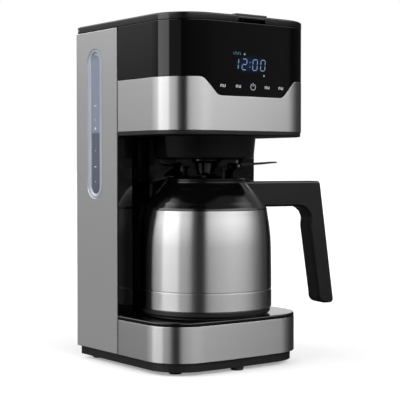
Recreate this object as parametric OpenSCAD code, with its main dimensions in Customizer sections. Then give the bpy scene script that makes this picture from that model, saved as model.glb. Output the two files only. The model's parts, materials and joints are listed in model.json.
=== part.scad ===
// Drip coffee maker with a steel vacuum jug.
// Millimetres. X to the right, -Y to the front, Z up.
// The origin is on the worktop, under the middle of the jug's seat.

/* [Body] */
// Width of the body
body_w = 177.5; // [174:0.5:180]
// Distance from the jug's axis to the back
rear_y = 112.7; // [112.7:0.1:116]
// Where the side panels start, behind the jug's axis
seam_y = 29.6; // [29:0.1:30]
// Height of the rubber feet
foot_h = 5; // [4:0.5:5]
// Bottom edge of the base band and of the side panels
band_z = 13; // [13:0.5:14]
// Top edge of the base's steel band
tray_z = 48.6; // [48:0.1:49]
// Underside of the head
head_z = 233.5; // [233:0.5:235]
// Lower edge of the head's steel band
steel_z = 237.8; // [237.8:0.1:239]
// Upper edge of the head's steel band
fascia_z = 289.2; // [288:0.1:291]
// Seam under the lid
lid_z = 343; // [343:0.5:344]

/* [Plan outlines] */
// Distance from the jug's axis to the front of the head
head_front = 75.2; // [75:0.1:77]
// Corner radius of the head
head_r = 43; // [41:0.5:44]
// Radius of the head's bowed front
head_bow = 1000; // [800:10:1200]
// Distance from the jug's axis to the front of the base
base_front = 63.8; // [63:0.1:66]
// Corner radius of the base
base_r = 41.7; // [40:0.1:43]
// Radius of the base's bowed front
base_bow = 1000; // [800:10:1200]
// Radius of the hollow in the tower behind the jug
bay_r = 77; // [76.5:0.1:77.5]

/* [Jug] */
// Outer radius of the jug's steel body
jug_r = 67.8; // [67:0.1:68.2]
// Underside of the jug
jug_z = 54; // [54:0.1:54.2]
// Turn of the handle away from the right, towards the front
handle_turn = 12; // [8:1:16]
// Width of the handle
handle_w = 24; // [20:1:26]

/* [Filter and brewing] */
// Filter axis behind the jug's axis
filter_y = 3; // [2:0.5:4]
// Upward travel of the drip stop
drip_travel = 4; // [3:0.5:4]

/* [Hidden] */

half_w = body_w / 2;
skin = 1.5;                 // outer bands
wall = 2.5;                 // moulded shells
panel_t = 2;                // side panels
gap = 0.2;                  // gap between a shell and its skin
panel_y = seam_y + 1.6;     // front edge of the side panels
rear_corner_r = 4;
rear_edge_x = half_w - 12;  // where the side panels end on the back
lid_t = 7;
lid_bottom = lid_z + 0.3;
hinge_y = rear_y - 3.5;
hinge_z = lid_bottom + lid_t / 2;
hinge_x = 79.5;             // half length of the lid's hinge barrel
tank_bottom = 158;
tank_top = 330;
tank_right = 60;            // the riser passes on the tank's right
tank_r = bay_r + 4.5;
window_y = 73.5;
window_w = 28;
window_z = [170.5, 324.2];
slot_w = 15.6;
slot_z = [175, 320.2];
filter_r = 53.5;            // top radius of the filter housing
filter_bottom_r = 51;
filter_z = 211;
bay_floor = tray_z + 3.9;
seat_r = 61.5;
bore_fit = 0.05;            // running clearance on a radius
lever_pin_at = [33, 203.6]; // distance from the jug's axis, height
valve_at = 20;              // distance of the pour valve from the jug's axis

$fn = 96;

// ---------- outlines ----------

function arc(cx, cy, r, a0, a1, n) =
    [for (i = [0:n]) let (a = a0 + (a1 - a0) * i / n) [cx + r * cos(a), cy + r * sin(a)]];

// Front half of a body outline: straight sides, round corners and a bowed front, from y = back forwards.
function front_outline(front, r, bow, inset, back) =
    let (hw = half_w - inset, rc = r - inset, rb = bow - inset,
        cx = hw - rc, lean = asin(cx / (rb - rc)),
        cy = -front + bow - sqrt((rb - rc) * (rb - rc) - cx * cx))
    concat([[hw, back]], arc(cx, cy, rc, 0, lean - 90, 10),
        arc(0, bow - front, rb, lean - 90, -lean - 90, 14),
        arc(-cx, cy, rc, -lean - 90, -180, 10), [[-hw, back]]);

// The same outline closed behind with round rear corners.
function full_outline(front, r, bow, inset, back) =
    let (rr = max(rear_corner_r - inset, 1), cx = half_w - inset - rr, cy = back - inset - rr)
    concat(front_outline(front, r, bow, inset, cy), arc(-cx, cy, rr, 165, 90, 5), arc(cx, cy, rr, 90, 15, 5));

module head_outline(inset, back = seam_y) {
    polygon(front_outline(head_front, head_r, head_bow, inset, back));
}

module base_outline(inset) {
    polygon(full_outline(base_front, base_r, base_bow, inset, rear_y));
}

module base_front_outline(inset, back) {
    polygon(front_outline(base_front, base_r, base_bow, inset, back));
}

// Outline that reaches back over the hollow in the tower, to a circle of radius r about the jug's axis.
function bay_outline(front_part, r) =
    let (y = front_part[0][1], a = asin(y / r))
    concat(front_part, arc(0, 0, r, 180 - a, a, 36));

module strip(x0, x1, y0, y1) {
    translate([x0, y0]) square([x1 - x0, y1 - y0]);
}

module block(x0, x1, y0, y1, z0, z1) {
    translate([x0, y0, z0]) cube([x1 - x0, y1 - y0, z1 - z0]);
}

module slab(z0, z1) {
    translate([0, 0, z0]) linear_extrude(z1 - z0) children();
}

module tube(r0, r1, z0, z1) {
    difference() {
        translate([0, 0, z0]) cylinder(h = z1 - z0, r = r1);
        translate([0, 0, z0 - 1]) cylinder(h = z1 - z0 + 2, r = r0);
    }
}

// Upright slot with round ends across the wall of a side panel.
module side_slot(x0, x1, w, z0, z1) {
    translate([x0, window_y, 0]) rotate([90, 0, 90]) linear_extrude(x1 - x0) {
        translate([-w / 2, z0 + w / 2]) square([w, z1 - z0 - w]);
        for (z = [z0 + w / 2, z1 - w / 2]) translate([0, z]) circle(w / 2);
    }
}

// ---------- swept tubes ----------

function unit(v) = v / norm(v);
function path_dir(p, i) = unit(p[min(i + 1, len(p) - 1)] - p[max(i - 1, 0)]);
function bezier(a, b, c, n) =
    [for (i = [0:n]) let (t = i / n) (1 - t) * (1 - t) * a + 2 * t * (1 - t) * b + t * t * c];

// Tube along a path that never runs along side; side sets where its first facet lies.
module sweep(path, r, side, sides = 8) {
    rings = [for (i = [0:len(path) - 1])
        let (d = path_dir(path, i), u = unit(cross(d, side)), v = cross(d, u))
        for (k = [0:sides - 1]) path[i] + r * (cos(360 * k / sides) * u + sin(360 * k / sides) * v)];
    last = len(path) - 1;
    sides_faces = [for (i = [0:last - 1], k = [0:sides - 1])
        let (a = i * sides + k, b = i * sides + (k + 1) % sides) [b, a, a + sides, b + sides]];
    polyhedron(rings, concat([[for (k = [0:sides - 1]) k]],
        [[for (k = [sides - 1:-1:0]) last * sides + k]], sides_faces), convexity = 6);
}

module helix_spring(r, wire_r, height, turns) {
    steps = 12;
    path = [for (i = [0:steps * turns])
        [r * cos(360 * i / steps), r * sin(360 * i / steps), wire_r + (height - 2 * wire_r) * i / (steps * turns)]];
    sweep(path, wire_r, [0, 0, 1], 6);
}

// Puts its children in the handle's upright plane, with the jug's axis as Z.
module at_handle() {
    rotate([0, 0, -handle_turn]) children();
}

// Extrudes an outline of [distance from the jug's axis, height] points to a width across the handle's plane.
module handle_extrude(w) {
    at_handle() rotate([90, 0, 0]) translate([0, 0, -w / 2]) linear_extrude(w) children();
}

// ---------- base ----------

module bottom_cover() {
    color("#1b1b1c") difference() {
        slab(foot_h - 1, band_z) base_outline(4);
        slab(foot_h + 2, band_z + 1) base_outline(4 + wall);
        for (x = [-60, 60], y = [-12, 90]) translate([x, y, 0]) cylinder(h = 20, r = 2.2);
        for (x = [-24:8:24]) block(x - 1.5, x + 1.5, 20, 60, 0, 20);
    }
}

module feet() {
    color("#242424") for (p = [[-62, -33], [62, -33], [-70, 96], [70, 96], [0, -52]])
        translate([p[0], p[1], 0]) {
            cylinder(h = foot_h - 1, r1 = 6.4, r2 = 7);
        }
}

module cover_screws() {
    color("#8f9092") for (x = [-60, 60], y = [-12, 90]) translate([x, y, foot_h - 2.6]) {
        cylinder(h = 1.5, r = 3.6);
        cylinder(h = 18, r = 1.6);
    }
}

module base_shell() {
    color("#1e1e20") difference() {
        union() {
            difference() {
                slab(band_z, tray_z - 0.2) base_outline(panel_t + 0.3);
                slab(band_z + 2, tray_z) base_outline(panel_t + 0.3 + wall);
            }
            for (x = [-60, 60], y = [-12, 90]) translate([x, y, band_z + 1]) cylinder(h = 12, r = 4);
        }
        for (x = [-60, 60], y = [-12, 90]) translate([x, y, band_z - 1]) cylinder(h = 11, r = 1.7);
        translate([30, rear_y, 27]) rotate([90, 0, 0]) cylinder(h = 20, r = 6.1, center = true);
    }
}

module base_band() {
    color("#b9babc") slab(band_z, tray_z) difference() {
        base_front_outline(0, seam_y - 0.6);
        base_front_outline(skin, seam_y + 1);
    }
}

module base_tray() {
    color("#0d0d0f") difference() {
        slab(tray_z, bay_floor)
            polygon(bay_outline(front_outline(base_front, base_r, base_bow, 0.3, seam_y), bay_r - 0.3));
        translate([0, 0, tray_z + 1.6]) cylinder(h = 10, r = seat_r + 0.3);
        translate([0, 0, tray_z - 1]) cylinder(h = 10, r = 20);
    }
}

module jug_seat() {
    color("#3a3b3d") translate([0, 0, tray_z + 1.6]) rotate_extrude() difference() {
        square([seat_r, jug_z - 0.4 - tray_z - 1.6]);
        for (r = [14:12:50]) translate([r, jug_z - 0.4 - tray_z - 1.6 - 0.8]) square([3, 2]);
    }
}

// ---------- tower ----------

// Plan of the right side panel: straight side, round rear corner and a short return on the back.
function panel_plan() =
    let (rr = rear_corner_r, cx = half_w - rr, cy = rear_y - rr)
    concat([[half_w, panel_y]], arc(cx, cy, rr, 0, 90, 8), [[rear_edge_x, rear_y], [rear_edge_x, rear_y - panel_t]],
        arc(cx, cy, rr - panel_t, 90, 0, 8), [[half_w - panel_t, panel_y]]);

module side_panel_left() {
    color("#c3c4c6") difference() {
        mirror([1, 0, 0]) slab(band_z, lid_z) polygon(panel_plan());
        side_slot(-half_w - 1, -half_w + 5, window_w, window_z[0], window_z[1]);
    }
}

module side_panel_right() {
    color("#c3c4c6") slab(band_z, lid_z) polygon(panel_plan());
}

module rear_cover() {
    color("#1b1b1c") difference() {
        block(-rear_edge_x + 0.3, rear_edge_x - 0.3, rear_y - panel_t, rear_y, band_z, lid_z);
        translate([30, rear_y, 27]) rotate([90, 0, 0]) cylinder(h = 20, r = 6.1, center = true);
        for (z = [62:8:118]) block(-36, 36, rear_y - 5, rear_y + 1, z, z + 3);
    }
}

module cord_inlet() {
    color("#161617") translate([30, 0, 27]) rotate([-90, 0, 0]) difference() {
        union() {
            translate([0, 0, rear_y - 7]) cylinder(h = 6.9, r = 6);
            translate([0, 0, rear_y - 7]) cylinder(h = 2, r = 9);
        }
        cylinder(h = 200, r = 3.6);
    }
}

module tower_wall() {
    color("#0e0e10") slab(bay_floor, head_z - 0.2) difference() {
        union() {
            strip(-half_w + 0.4, half_w - 0.4, seam_y, panel_y - 0.2);
            strip(-half_w + panel_t + gap, half_w - panel_t - gap, seam_y, panel_y + 2);
            circle(bay_r + wall);
        }
        circle(bay_r);
        strip(-half_w, half_w, -half_w, seam_y);
    }
}

module window_frame() {
    color("#b8bcc2") difference() {
        side_slot(-half_w, -half_w + panel_t + 0.4, window_w - 0.3, window_z[0] + 0.15, window_z[1] - 0.15);
        side_slot(-half_w - 1, -half_w + 5, slot_w, slot_z[0], slot_z[1]);
    }
}

module window_lens() {
    color("#9fb6cf", 0.6) side_slot(-half_w + 0.4, -half_w + 1.9, slot_w - 0.1, slot_z[0] + 0.05, slot_z[1] - 0.05);
}

module tank_section(inset) {
    difference() {
        strip(-84 + inset, tank_right - inset, 34 + inset, 108.5 - inset);
        circle(tank_r + inset);
    }
}

module water_tank() {
    color("#dfe6ec", 0.5) difference() {
        slab(tank_bottom, tank_top) tank_section(0);
        slab(tank_bottom + 2.5, tank_top + 1) tank_section(2);
        translate([-48, 96, tank_bottom - 1]) cylinder(h = 10, r = 5.5);
    }
}

module tank_seal() {
    color("#c9c9c4") translate([-48, 96, 0]) {
        tube(3.5, 5.4, tank_bottom - 4, tank_bottom + 2.5);
    }
}

module check_valve() {
    color("#e5e5e0") translate([-48, 96, 0]) {
        difference() {
            translate([0, 0, tank_bottom - 22]) cylinder(h = 16, r = 6);
            translate([0, 0, tank_bottom - 23]) cylinder(h = 30, r = 2);
            translate([0, 0, tank_bottom - 17]) cylinder(h = 8, r = 4);
        }
        tube(2, 3.4, tank_bottom - 6, tank_bottom);
        translate([0, 0, tank_bottom - 13]) sphere(r = 3.4);
    }
}

// ---------- water path ----------

cold_path = concat(bezier([-39.4, 23.7, 30], [-30, 40, 30], [-36, 58, 32], 6),
    bezier([-42, 74, 34], [-48, 96, 34], [-48, 96, 60], 8), [[-48, 96, 90], [-48, 96, tank_bottom - 22.2]]);
hot_path = concat(bezier([39.4, 23.7, 30], [30, 40, 30], [40, 58, 32], 6),
    bezier([52, 74, 34], [72, 92, 34], [72, 92, 60], 8), [[72, 92, 100], [72, 92, 149.8]]);
riser_path = concat([[72, 92, 150], [72, 92, 240], [72, 92, 322]],
    bezier([72, 92, 328], [72, 92, 336], [62, 92, 336], 6), [[36, 92, 336]],
    bezier([10, 92, 336], [2, 92, 336], [1, 92, 341.6], 6));

module heater() {
    color("#b7b8b6") translate([0, 0, 24]) rotate([0, 0, -210]) {
        rotate_extrude(angle = 240) translate([38, 0]) difference() {
            square([16, 12]);
            translate([8, 6]) circle(r = 3.2, $fn = 24);
        }
    }
}

module heater_clamps() {
    color("#9a9b9d") for (a = [-170, -90, -10]) rotate([0, 0, a]) {
        block(34, 58, -4, 4, 36.2, 37.6);
        translate([34, -4, band_z + 2.2]) cube([1.4, 8, 21]);
    }
}

module thermostat() {
    color("#d8c9a8") rotate([0, 0, -130]) translate([46, 0, 36.2]) {
        cylinder(h = 5, r = 7.5);
        translate([-6, -1.5, 5]) cube([12, 3, 1.5]);
    }
}

module cold_hose() {
    color("#d9d6cc") sweep(cold_path, 3.2, [1, 0, 0]);
}

module hot_hose() {
    color("#d9d6cc") sweep(hot_path, 3.2, [1, 0, 0]);
}

module riser_pipe() {
    color("#e5e5e0") sweep(riser_path, 3.2, [0, 1, 0]);
}

module hose_clips() {
    color("#9a9b9d") for (p = [[-48, 96, 126], [72, 92, 140]]) translate(p) {
        tube(3.3, 4.3, 0, 5);
        translate([4.2, -1.5, 0]) cube([4, 3, 5]);
    }
}

module power_board() {
    color("#3f6b45") block(-34, 34, 88, 89.6, 62, 132);
    color("#4a4a4c") for (x = [-22, 0, 22]) block(x - 8, x + 8, 89.6, 103, 70, 90);
}

// ---------- head ----------

module head_plan(inset, r) {
    polygon(bay_outline(front_outline(head_front, head_r, head_bow, inset, seam_y - 0.2), r));
}

module head_trim() {
    color("#121214") difference() {
        slab(head_z, steel_z - 0.1) head_plan(0.8, bay_r - 0.4);
        translate([0, filter_y, head_z - 1]) cylinder(h = 20, r = filter_r + 1.2);
    }
}

module head_shell() {
    color("#17171a") difference() {
        slab(steel_z, lid_z - 0.4) head_plan(skin + gap, bay_r - 0.4);
        slab(steel_z + 3, lid_z) polygon(bay_outline(
            front_outline(head_front, head_r, head_bow, skin + gap + wall, seam_y - 0.2 - wall), bay_r - 0.4 - wall));
        translate([0, filter_y, steel_z - 1]) cylinder(h = 20, r = filter_r + 1.2);
        block(-34, 30, -head_front, -60, 293, 323);
    }
}

// Upper edge of the head's steel band: it dips in the middle, below the touch keys.
dip_z = 271.5;
dip_top = 57.4;             // half width of the dip at its top
dip_bottom = 40.2;          // and at its bottom
dip_r = 10;
function fillet(a, p, b, r) =
    let (u = unit(a - p), v = unit(b - p), t = r / tan(acos(u * v) / 2))
    bezier(p + u * t, p, p + v * t, 6);
dip_left = concat(
    fillet([-80, fascia_z], [-dip_top, fascia_z], [-dip_bottom, dip_z], dip_r),
    fillet([-dip_top, fascia_z], [-dip_bottom, dip_z], [0, dip_z], dip_r));
dip_outline = concat(dip_left, [for (i = [len(dip_left) - 1:-1:0]) [-dip_left[i][0], dip_left[i][1]]]);

// The dip as a prism through the head's front, moved down by drop.
module dip_prism(drop) {
    top = dip_outline[0];
    translate([0, -30, -drop]) rotate([90, 0, 0]) linear_extrude(head_front)
        polygon(concat(dip_outline, [[-top[0], fascia_z + 10], [top[0], fascia_z + 10]]));
}

module head_wall() {
    difference() {
        head_outline(0, seam_y - 0.6);
        head_outline(skin, seam_y + 1);
    }
}

module head_band() {
    color("#b9babc") difference() {
        slab(steel_z, fascia_z) head_wall();
        dip_prism(0.1);
    }
}

module head_fascia() {
    color("#0a0a0c") union() {
        slab(fascia_z + 0.1, lid_z) head_wall();
        intersection() {
            slab(dip_z - 1, fascia_z + 1) head_wall();
            dip_prism(0);
        }
    }
}

module display_module() {
    color("#1c2a38") block(-32, 28, -70.4, -63, 295, 321);
}

module control_board() {
    color("#3f6b45") block(-50, 50, -62.8, -61.2, 262, 328);
}

module touch_springs() {
    color("#b08d57") for (i = [-2:2]) translate([18.2 * i, -62.9, 281]) rotate([90, 0, 0])
        cylinder(h = 6, r = 3);
}

module hinge_brackets() {
    color("#17171a") for (s = [-1, 1]) difference() {
        block(s > 0 ? hinge_x + 0.6 : -hinge_x - 7, s > 0 ? hinge_x + 7 : -hinge_x - 0.6,
            hinge_y - 3.3, hinge_y + 1.5, lid_z + 0.1, lid_bottom + lid_t - 0.4);
        translate([0, hinge_y, hinge_z]) rotate([0, 90, 0]) cylinder(h = 200, r = 1.5 + bore_fit, center = true);
    }
}

// ---------- filter ----------

module filter_housing() {
    color("#141416") translate([0, filter_y, 0]) rotate_extrude() polygon([
        [filter_r, 331.8], [filter_r, 244], [filter_r + 5, 244], [filter_r + 5, 241],
        [filter_r, 241], [filter_r, head_z + 1],
        [filter_bottom_r, filter_z], [5, filter_z], [5, filter_z + 2.5], [filter_bottom_r - 2.4, filter_z + 2.5],
        [filter_r - 2.4, head_z + 1], [filter_r - 2.4, 331.8]]);
}

module filter_basket() {
    color("#26262a") translate([0, filter_y, 0]) {
        rotate_extrude() polygon([
            [filter_r - 0.2, 332], [filter_r - 0.2, 334.4], [48.4, 334.4], [30.6, 230.6], [16, 230.6], [16, 228.6],
            [32, 228.6], [49.6, 332]]);
        for (a = [0:30:330]) rotate([0, 0, a]) translate([0, 0, 232])
            rotate([90, 0, 0]) translate([0, 0, -0.6]) linear_extrude(1.2)
                polygon([[29.6, 0], [31.4, 0], [46.4, 88], [44.6, 88]]);
    }
}

module valve_cap() {
    color("#2d2d31") translate([0, filter_y, 0]) difference() {
        rotate_extrude() polygon([[10, filter_z + 2.6], [11.6, filter_z + 2.6], [11.6, 226.6],
            [0, 226.6], [0, 225], [10, 225]]);
        for (a = [0, 60, 120]) rotate([0, 0, a]) block(-20, 20, -2.5, 2.5, filter_z + 2, 222);
    }
}

module drip_nozzle() {
    color("#1a1a1c") translate([0, filter_y, 0]) rotate_extrude() polygon([
        [3.4, filter_z - 0.1], [13, filter_z - 0.1], [13, 208.6], [10.2, 207], [7.2, 194.5], [2.5, 194.5],
        [2.5, 197], [3.4, 198]]);
}

module drip_valve() {
    color("#c9473f") translate([0, filter_y, 0]) {
        translate([0, 0, 192.1]) cylinder(h = 22, r = 2.5 - bore_fit);
        translate([0, 0, filter_z + 2.7]) cylinder(h = 2.4, r = 7);
    }
}

spring_z = [filter_z + 5.2, 224.9];
module drip_spring() {
    color("#a8aaad") translate([0, filter_y, spring_z[0]])
        helix_spring(3.6, 0.4, spring_z[1] - spring_z[0], 5);
}

// ---------- lid ----------

module lid_plan(inset) {
    difference() {
        polygon(full_outline(head_front, head_r, head_bow, inset, rear_y));
        strip(-half_w - 1, half_w + 1, hinge_y, rear_y + 1);
        for (s = [-1, 1]) translate([s * (hinge_x + 10.1), hinge_y]) square([20, 10], center = true);
    }
}

module lid() {
    color("#101012") difference() {
        union() {
            slab(lid_bottom, lid_bottom + lid_t) lid_plan(0);
            translate([0, hinge_y, hinge_z]) rotate([0, 90, 0]) cylinder(h = 2 * hinge_x, r = lid_t / 2, center = true);
            translate([0, 0, lid_bottom + lid_t - 1]) linear_extrude(2.4) intersection() {
                head_outline(0);
                strip(-19, 19, -head_front - 1, -head_front + 9);
            }
        }
        difference() {
            slab(lid_bottom - 1, lid_bottom + lid_t - 2.4) lid_plan(2.6);
            block(-half_w, half_w, hinge_y - 4, rear_y, 0, 400);
        }
        block(-17, 17, -head_front - 1, -head_front + 4, lid_bottom - 1, lid_bottom + 3.6);
        for (s = [-1, 1]) translate([s * (hinge_x - 1.5), hinge_y, hinge_z]) rotate([0, 90, 0])
            cylinder(h = 17, r = 1.5, center = true);
    }
}

module lid_hinge_pins() {
    color("#b4b5b7") for (s = [-1, 1]) translate([s * (hinge_x - 1.5), hinge_y, hinge_z]) rotate([0, 90, 0])
        cylinder(h = 16, r = 1.5, center = true);
}

module lid_liner() {
    color("#1f1f22") difference() {
        slab(lid_bottom + lid_t - 4.6, lid_bottom + lid_t - 2.5) difference() {
            lid_plan(2.9);
            strip(-half_w, half_w, hinge_y - 4.5, rear_y);
            strip(-18, 18, -head_front, -head_front + 6);
        }
    }
}

module lid_seal() {
    color("#8c8c88") translate([0, filter_y, 0]) difference() {
        tube(46, 49.5, 336.4, lid_bottom + lid_t - 4.7);
        block(-10, 10, 0, 60, 300, 400);
    }
}

module spray_channel() {
    color("#2c2c30") difference() {
        block(-9, 9, -10, 100, lid_z + 0.2, lid_bottom + lid_t - 4.7);
        for (x = [-5, 0, 5], y = [-4, 3, 10]) translate([x, y, lid_z - 5]) cylinder(h = 20, r = 1.2);
    }
}

// ---------- jug ----------

module jug_base() {
    color("#121214") rotate_extrude() polygon([
        [0, jug_z + 1], [56, jug_z + 1], [57, jug_z], [65, jug_z], [66.4, jug_z + 1.5], [66.4, jug_z + 5],
        [66, jug_z + 5], [66, jug_z + 11], [64, jug_z + 11], [64, jug_z + 3.5], [0, jug_z + 3.5]]);
}

shell_outer = [[jug_r - 0.6, 59.2], [jug_r, 61], [jug_r, 77.9], [jug_r - 0.5, 78.4], [jug_r - 0.5, 79], [jug_r - 0.1, 79.5],
    [jug_r - 0.45, 120], [jug_r - 0.8, 128], [jug_r - 1.6, 137], [jug_r - 2.5, 145], [jug_r - 4.1, 153], [jug_r - 4.8, 159.2]];
function inward(points, d) = [for (i = [len(points) - 1:-1:0]) [points[i][0] - d, points[i][1]]];

module jug_shell() {
    color("#bdbec0") rotate_extrude() polygon(concat(shell_outer, inward(shell_outer, 0.9)));
}

liner_outer = [[0, 66], [54, 66], [60, 71], [61, 78], [61, 132], [58.6, 150], [50, 164], [40, 171], [33, 174], [33, 186]];
module jug_liner() {
    color("#c8c9cb") rotate_extrude() polygon(concat(liner_outer,
        [[32.2, 186], [32.2, 173.4], [39.6, 170.2], [49.4, 163.3], [57.8, 149.6], [60.2, 132], [60.2, 78.2],
         [59.4, 71.5], [53.8, 66.8], [0, 66.8]]));
}

collar_outer = [[63.1, 159.4], [62.2, 161.6], [60, 164.8], [57.5, 168.6], [52, 175.8], [46.4, 181.4], [42.4, 184.6],
    [41.4, 186.4], [41.4, 188]];
module jug_collar() {
    color("#141416") rotate_extrude() polygon(concat(collar_outer,
        [[35, 188], [35, 186.2], [33.2, 186.2], [33.2, 174.6], [40.6, 171.6], [50.6, 164.8], [56, 158], [61.8, 158], [61.8, 159.4]]));
}

module collar_core() {
    rotate_extrude() polygon(concat([for (p = collar_outer) [p[0] + 0.05, p[1]]], [[0, 188], [0, 159.4]]));
}

// Handle outline, outer edge first, from the collar's top round the grip and back under the arm.
handle_outline = concat(
    [[44, 188]], arc(126.1, 184, 4, 90, 8, 6), arc(142.5, 60.5, 4, 8, -90, 6),
    arc(136.3, 65, 8.5, -90, -188, 8), [[117.2, 140]], arc(103, 146, 15, 8, 90, 8), [[44, 161]]);

module jug_handle() {
    color("#161618") difference() {
        handle_extrude(handle_w) polygon(handle_outline);
        collar_core();
        translate([0, 0, 120]) cylinder(h = 39.6, r = 64);
        handle_extrude(handle_w - 5) polygon(insert_outline(0));
        at_handle() translate([58, 0, 150]) cylinder(h = 60, r = 1.8);
        at_handle() translate([58, 0, 184]) cylinder(h = 10, r = 3.6);
    }
}

// Soft strip let into the inside of the grip.
function insert_outline(g) = [[128.2 + g, 72], [129.6, 72], [119.6, 140], [118.1 + g, 140]];
module handle_insert() {
    color("#0d0d0f") handle_extrude(handle_w - 5.2) polygon(insert_outline(0.05));
}

module handle_screw() {
    color("#8f9092") at_handle() {
        translate([58, 0, 170.6]) cylinder(h = 15.8, r = 1.7);
        translate([58, 0, 184.1]) cylinder(h = 2.3, r = 3.4);
    }
}

module jug_lid() {
    color("#121214") difference() {
        union() {
            rotate_extrude() polygon([[0, 176], [31.8, 176], [31.8, 188.3], [40.6, 188.3], [40.6, 190.4], [39.6, 191.4],
                [16, 191.4], [12, 189], [0, 189]]);
            handle_extrude(20) polygon([[26, 191], [26, 197], [30, 201], [35, 201], [50.5, 191.6], [50.5, 190], [39, 190]]);
            for (s = [-1, 1]) handle_ear(s * 8.4, 3.2, 3.2);
        }
        cylinder(h = 400, r = 3);
        at_handle() {
            translate([valve_at, 0, 170]) cylinder(h = 10, r = 5);
            translate([valve_at, 0, 178.3]) cylinder(h = 8.2, r = 6.5);
            translate([valve_at, 0, 170]) cylinder(h = 60, r = 2 + bore_fit);
            rotate([90, 0, 0]) translate([lever_pin_at[0], lever_pin_at[1], 0]) cylinder(h = 60, r = 1.2, center = true);
        }
        handle_extrude(13.6) lever_clearance();
    }
}

// Boss on the lever's pin axis: s across the handle's plane, width w.
module handle_ear(s, w, r) {
    at_handle() translate([lever_pin_at[0], s, lever_pin_at[1]]) rotate([90, 0, 0]) cylinder(h = w, r = r, center = true);
}

module lever_clearance() {
    translate(lever_pin_at) circle(r = 3.7);
    translate([20, 199.5]) square([16, 20]);
}

module lid_gasket() {
    color("#9a9a96") tube(31.9, 34.6, 186.4, 188.2);
}

module lever_pin() {
    color("#b4b5b7") handle_ear(0, 20, 1.2);
}

module thumb_lever() {
    color("#121214") difference() {
        union() {
            handle_ear(0, 13, 3);
            handle_extrude(13) polygon([[33, 204.4], [33, 206.4], [56, 207.2], [77, 208.4], [80, 208.1],
                [79.6, 207], [62, 205.4], [36, 203.6]]);
            handle_extrude(6) polygon([[34, 202.6], [25.5, 202.4], [25.5, 204.2], [33, 206]]);
        }
        handle_ear(0, 30, 1.2 + bore_fit);
    }
}

module pour_valve() {
    color("#8f2f2a") at_handle() translate([valve_at, 0, 0]) {
        translate([0, 0, 179]) cylinder(h = 21, r = 2);
        translate([0, 0, 178.5]) cylinder(h = 2, r = 6);
        translate([0, 0, 200]) cylinder(h = 2, r = 4);
    }
}

module pour_spring() {
    color("#a8aaad") at_handle() translate([valve_at, 0, 180.7]) helix_spring(4, 0.35, 5.7, 4);
}

bottom_cover();
feet();
base_shell();
base_band();
base_tray();
jug_seat();
side_panel_left();
side_panel_right();
rear_cover();
tower_wall();
window_frame();
window_lens();
water_tank();
tank_seal();
check_valve();
cord_inlet();
head_trim();
head_shell();
head_band();
head_fascia();
hinge_brackets();
display_module();
control_board();
touch_springs();
filter_housing();
filter_basket();
valve_cap();
drip_nozzle();
heater();
heater_clamps();
thermostat();
cold_hose();
hot_hose();
riser_pipe();
hose_clips();
power_board();
cover_screws();
lid();
lid_liner();
lid_seal();
spray_channel();
lid_hinge_pins();
drip_valve();
drip_spring();
jug_base();
jug_shell();
jug_liner();
jug_collar();
jug_handle();
handle_insert();
handle_screw();
jug_lid();
lid_gasket();
lever_pin();
thumb_lever();
pour_valve();
pour_spring();
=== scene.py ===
"""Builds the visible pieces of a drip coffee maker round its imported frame."""

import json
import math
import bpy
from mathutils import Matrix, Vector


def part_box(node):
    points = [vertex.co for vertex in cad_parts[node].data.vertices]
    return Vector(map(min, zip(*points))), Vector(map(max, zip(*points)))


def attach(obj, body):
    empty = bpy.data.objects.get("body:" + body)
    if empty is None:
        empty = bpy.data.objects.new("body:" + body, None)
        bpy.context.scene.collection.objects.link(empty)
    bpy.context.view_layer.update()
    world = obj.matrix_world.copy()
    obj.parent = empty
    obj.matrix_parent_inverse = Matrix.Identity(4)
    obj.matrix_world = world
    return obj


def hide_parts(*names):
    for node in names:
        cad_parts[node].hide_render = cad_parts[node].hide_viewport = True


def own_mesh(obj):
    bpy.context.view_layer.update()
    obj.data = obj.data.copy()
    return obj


bl_info = {
    "name": "Drip coffee maker",
    "version": (1, 0, 0),
    "blender": (4, 5, 0),
    "location": "3D View > Sidebar > Coffee maker",
    "description": "Skins, lid, filter, jug, display and studio of a drip coffee maker",
    "category": "Add Mesh",
}

import bmesh
import bpy
from mathutils import Matrix, Vector

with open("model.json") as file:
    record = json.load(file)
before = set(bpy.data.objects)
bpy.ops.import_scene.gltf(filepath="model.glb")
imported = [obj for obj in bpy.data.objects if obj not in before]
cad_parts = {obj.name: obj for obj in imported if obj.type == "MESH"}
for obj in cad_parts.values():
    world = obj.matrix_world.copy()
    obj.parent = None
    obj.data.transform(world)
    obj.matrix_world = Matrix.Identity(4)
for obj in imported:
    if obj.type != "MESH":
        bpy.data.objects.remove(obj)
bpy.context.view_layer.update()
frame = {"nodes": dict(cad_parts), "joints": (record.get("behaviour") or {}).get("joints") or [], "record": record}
MM = 0.001
# The fascia lies this far behind the steel, so that the lit marks on it stay inside the CAD's box.
FASCIA_BACK = 0.1 * MM

# In millimetres: the feet in plan, and the marks on the front by x and height.
FEET = ((-62, -33), (62, -33), (-70, 96), (70, 96), (0, -52))
CLOCK = ((-22.6, "1"), (-12.4, "2"), (0.8, "0"), (10.8, "0"))
CLOCK_BASE = 297.3
KEY_MARKS = (-35.2, -16.6, 19.6, 37.7)
KEY_HEIGHT, POWER_KEY = 281.0, 1.6
SEAT_RINGS = (56, 48, 40, 32, 24)
CAMERA_AT = (-0.7182, -0.9592, 0.2034)
CAMERA_TILT, CAMERA_LENS, CAMERA_SENSOR, CAMERA_SHIFT = 0.029, 104.46, 36.0, -0.01436

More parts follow.
